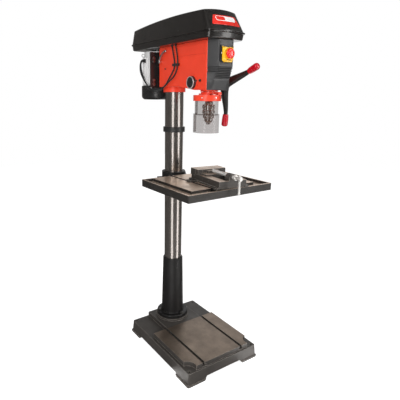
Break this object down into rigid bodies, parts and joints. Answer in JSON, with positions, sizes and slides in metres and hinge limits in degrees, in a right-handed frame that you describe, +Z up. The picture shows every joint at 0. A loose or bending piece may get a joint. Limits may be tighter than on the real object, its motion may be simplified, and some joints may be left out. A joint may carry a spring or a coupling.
{
  "type": "pillar drill",
  "caption": "Floor-standing pillar drill: cast base, round column, tilting lifting table with a drill vise, belt-driven head with quill feed, chuck and guard.",
  "frame": {"origin": "middle of the base's four floor bolt holes, on the floor", "axes": "+Z up, -Y towards the operator, +X to the operator's right hand; the column axis stands at y = 0.179"},
  "size_m": [0.464, 0.7605, 1.6149],
  "materials": {
    "base_iron": "dark paint with machined ways",
    "painted_iron": "semi-gloss black paint",
    "steel_bolts": "zinc plated",
    "ground_column": "ground and polished",
    "black_fittings": "black oxide",
    "head_red": "gloss enamel",
    "panel_grey": "moulded, satin",
    "spring_steel": "blued",
    "switch_black": "moulded",
    "cover_black": "semi-gloss powder coat",
    "pulley_alloy": "turned",
    "post_steel": "turned",
    "belt_rubber": "matt",
    "lead_rubber": "satin sheath",
    "start_green": "moulded",
    "stop_red": "moulded",
    "flap_yellow": "moulded",
    "motor_grey": "light grey enamel",
    "motor_black": "black paint",
    "zinc_bolts": "zinc plated",
    "lever_chrome": "polished",
    "rack_steel": "milled",
    "crank_iron": "black paint",
    "grip_black": "moulded",
    "table_iron": "painted rim, ground top",
    "vise_iron": "painted sides, ground faces",
    "screw_steel": "bright",
    "quill_steel": "ground",
    "bearing_steel": "ground",
    "clear_shield": "clear polycarbonate",
    "chuck_steel": "turned and knurled",
    "feed_black": "black paint",
    "grip_red": "dipped",
    "dial_alloy": "turned"
  },
  "bodies": {
    "stand": {"base": "base_iron", "column_foot": "painted_iron", "foot_bolts": "steel_bolts", "column": "ground_column", "rack_ring": "black_fittings", "set_screws": "black_fittings", "head_casting": "head_red", "front_panel": "panel_grey", "spring_cap": "black_fittings", "return_spring": "spring_steel", "switch_body": "switch_black", "belt_tray": "cover_black", "idler_post": "post_steel", "belts": "belt_rubber", "leads": "lead_rubber", "cable_fittings": "black_fittings", "lid_hinge_pin": "post_steel"},
    "lid": {"belt_lid": "cover_black"},
    "start_button": {"start_button": "start_green"},
    "stop_button": {"stop_button": "stop_red"},
    "switch_flap": {"switch_flap": "flap_yellow"},
    "stop_knob": {"stop_knob": "stop_red"},
    "spindle_pulley": {"spindle_pulley": "pulley_alloy"},
    "idler_pulley": {"idler_pulley": "pulley_alloy"},
    "motor": {"motor_body": "motor_grey", "fan_cover": "motor_black", "motor_plate": "motor_black", "slide_rods": "post_steel", "motor_fittings": "zinc_bolts"},
    "motor_rotor": {"motor_pulley": "pulley_alloy"},
    "tension_lever": {"tension_lever": "lever_chrome"},
    "quill_lock": {"quill_lock": "black_fittings"},
    "rack": {"rack": "rack_steel"},
    "table_bracket": {"table_bracket": "painted_iron", "tilt_bolt": "steel_bolts"},
    "crank": {"crank_arm": "crank_iron"},
    "crank_grip": {"crank_grip": "grip_black"},
    "clamp_lever": {"clamp_lever": "painted_iron"},
    "table": {"table": "table_iron", "vise_body": "vise_iron", "vise_bolt": "steel_bolts"},
    "moving_jaw": {"moving_jaw": "vise_iron"},
    "vise_screw": {"vise_screw": "screw_steel"},
    "vise_bar": {"vise_bar": "screw_steel"},
    "quill": {"quill": "quill_steel", "spindle_bearings": "bearing_steel", "guard_clamp": "head_red"},
    "guard": {"guard_ring": "head_red", "guard_shield": "clear_shield"},
    "guard_extension": {"guard_extension": "clear_shield"},
    "spindle": {"spindle": "quill_steel", "chuck_body": "chuck_steel"},
    "chuck_sleeve": {"chuck_sleeve": "chuck_steel"},
    "chuck_jaw_1": {"chuck_jaw_1": "chuck_steel"},
    "chuck_jaw_2": {"chuck_jaw_2": "chuck_steel"},
    "chuck_jaw_3": {"chuck_jaw_3": "chuck_steel"},
    "feed": {"pinion_shaft": "quill_steel", "feed_hub": "feed_black", "feed_grips": "grip_red", "depth_dial": "dial_alloy"}
  },
  "joints": [
    {"name": "lid_hinge", "type": "hinge", "parent": "stand", "child": "lid", "pos_m": [0, 0.4376, 1.519], "axis": [-1, 0, 0], "range_deg": [0, 70]},
    {"name": "start_press", "type": "slide", "parent": "stand", "child": "start_button", "axis": [0, 1, 0], "range_m": [0, 0.004], "stiffness_N_per_m": 300},
    {"name": "stop_press", "type": "slide", "parent": "stand", "child": "stop_button", "axis": [0, 1, 0], "range_m": [0, 0.004], "stiffness_N_per_m": 300},
    {"name": "flap_hinge", "type": "hinge", "parent": "stand", "child": "switch_flap", "pos_m": [0, -0.204, 1.463], "axis": [-1, 0, 0], "range_deg": [0, 65]},
    {"name": "knob_press", "type": "slide", "parent": "switch_flap", "child": "stop_knob", "axis": [0, 1, 0], "range_m": [0, 0.004], "stiffness_N_per_m": 300},
    {"name": "spindle_spin", "type": "hinge", "parent": "quill", "child": "spindle", "pos_m": [0, -0.092, 1.3], "axis": [0, 0, 1], "continuous": true},
    {"name": "spindle_pulley_spin", "type": "hinge", "parent": "stand", "child": "spindle_pulley", "pos_m": [0, -0.092, 1.53], "axis": [0, 0, 1], "continuous": true},
    {"name": "idler_spin", "type": "hinge", "parent": "stand", "child": "idler_pulley", "pos_m": [0, 0.118, 1.53], "axis": [0, 0, 1], "continuous": true},
    {"name": "motor_slide", "type": "slide", "parent": "stand", "child": "motor", "axis": [0, 1, 0], "range_m": [-0.012, 0], "deforming": ["belts", "leads"]},
    {"name": "motor_spin", "type": "hinge", "parent": "motor", "child": "motor_rotor", "pos_m": [0, 0.335, 1.4], "axis": [0, 0, 1], "continuous": true},
    {"name": "tension_lever_turn", "type": "hinge", "parent": "stand", "child": "tension_lever", "pos_m": [-0.07, 0.205, 1.43], "axis": [1, 0, 0], "range_deg": [0, 70]},
    {"name": "quill_lock_turn", "type": "hinge", "parent": "stand", "child": "quill_lock", "pos_m": [-0.05, -0.109, 1.336], "axis": [1, 0, 0], "range_deg": [0, 60]},
    {"name": "rack_swing", "type": "hinge", "parent": "stand", "child": "rack", "pos_m": [0, 0.179, 0.8], "axis": [0, 0, 1], "range_deg": [-90, 90]},
    {"name": "table_lift", "type": "slide", "parent": "rack", "child": "table_bracket", "axis": [0, 0, -1], "range_m": [-0.15, 0.33]},
    {"name": "crank_turn", "type": "hinge", "parent": "table_bracket", "child": "crank", "pos_m": [-0.00793, 0.2008, 0.84], "axis": [0.9397, 0.342, 0], "range_deg": [-1262, 574]},
    {"name": "crank_grip_spin", "type": "hinge", "parent": "crank", "child": "crank_grip", "pos_m": [0.10643, 0.31053, 0.904], "axis": [0.9397, 0.342, 0], "continuous": true},
    {"name": "clamp_lever_turn", "type": "hinge", "parent": "table_bracket", "child": "clamp_lever", "pos_m": [-0.06578, 0.20294, 0.84], "axis": [0.342, 0.9397, 0], "range_deg": [-60, 30]},
    {"name": "table_tilt", "type": "hinge", "parent": "table_bracket", "child": "table", "pos_m": [0, 0.03, 0.824], "axis": [0, 1, 0], "range_deg": [-45, 45]},
    {"name": "jaw_slide", "type": "slide", "parent": "table", "child": "moving_jaw", "axis": [-0.1279, -0.9918, 0], "range_m": [0, 0.085]},
    {"name": "vise_screw_turn", "type": "hinge", "parent": "moving_jaw", "child": "vise_screw", "pos_m": [0.02, -0.16, 0.941], "axis": [-0.1279, -0.9918, 0], "range_deg": [0, 2551]},
    {"name": "vise_bar_slide", "type": "slide", "parent": "vise_screw", "child": "vise_bar", "axis": [0, 0, 1], "range_m": [0, 0.052]},
    {"name": "feed_turn", "type": "hinge", "parent": "stand", "child": "feed", "pos_m": [0, -0.055, 1.324], "axis": [1, 0, 0], "range_deg": [0, 494.3], "stiffness_Nm_per_rad": 0.15, "springref_deg": -572.96, "deforming": ["return_spring"]},
    {"name": "quill_slide", "type": "slide", "parent": "stand", "child": "quill", "axis": [0, 0, -1], "range_m": [0, 0.11]},
    {"name": "guard_swing", "type": "hinge", "parent": "quill", "child": "guard", "pos_m": [0.0365, -0.12, 1.264], "axis": [0, 0, 1], "range_deg": [0, 100]},
    {"name": "guard_extension_slide", "type": "slide", "parent": "guard", "child": "guard_extension", "axis": [0, 0, 1], "range_m": [0, 0.05]},
    {"name": "chuck_sleeve_turn", "type": "hinge", "parent": "spindle", "child": "chuck_sleeve", "pos_m": [0, -0.092, 1.2], "axis": [0, 0, 1], "range_deg": [0, 720]},
    {"name": "chuck_jaw_1_slide", "type": "slide", "parent": "spindle", "child": "chuck_jaw_1", "axis": [0.0868, 0.1504, 0.9848], "range_m": [0, 0.008]},
    {"name": "chuck_jaw_2_slide", "type": "slide", "parent": "spindle", "child": "chuck_jaw_2", "axis": [-0.1736, 0, 0.9848], "range_m": [0, 0.008]},
    {"name": "chuck_jaw_3_slide", "type": "slide", "parent": "spindle", "child": "chuck_jaw_3", "axis": [0.0868, -0.1504, 0.9848], "range_m": [0, 0.008]}
  ],
  "couplings": [
    {"joint": "spindle_pulley_spin", "follows": "spindle_spin", "ratio": 1},
    {"joint": "idler_spin", "follows": "spindle_spin", "ratio": 0.83333},
    {"joint": "motor_spin", "follows": "spindle_spin", "ratio": 0.75758},
    {"joint": "motor_slide", "follows": "tension_lever_turn", "m_per_rad": -0.00982},
    {"joint": "crank_turn", "follows": "table_lift", "rad_per_m": -66.667},
    {"joint": "vise_screw_turn", "follows": "jaw_slide", "rad_per_m": 523.6},
    {"joint": "quill_slide", "follows": "feed_turn", "m_per_rad": 0.01275},
    {"joint": "stop_press", "follows": "knob_press", "ratio": 1},
    {"joint": "chuck_jaw_1_slide", "follows": "chuck_sleeve_turn", "m_per_rad": 0.0006366},
    {"joint": "chuck_jaw_2_slide", "follows": "chuck_sleeve_turn", "m_per_rad": 0.0006366},
    {"joint": "chuck_jaw_3_slide", "follows": "chuck_sleeve_turn", "m_per_rad": 0.0006366}
  ]
}
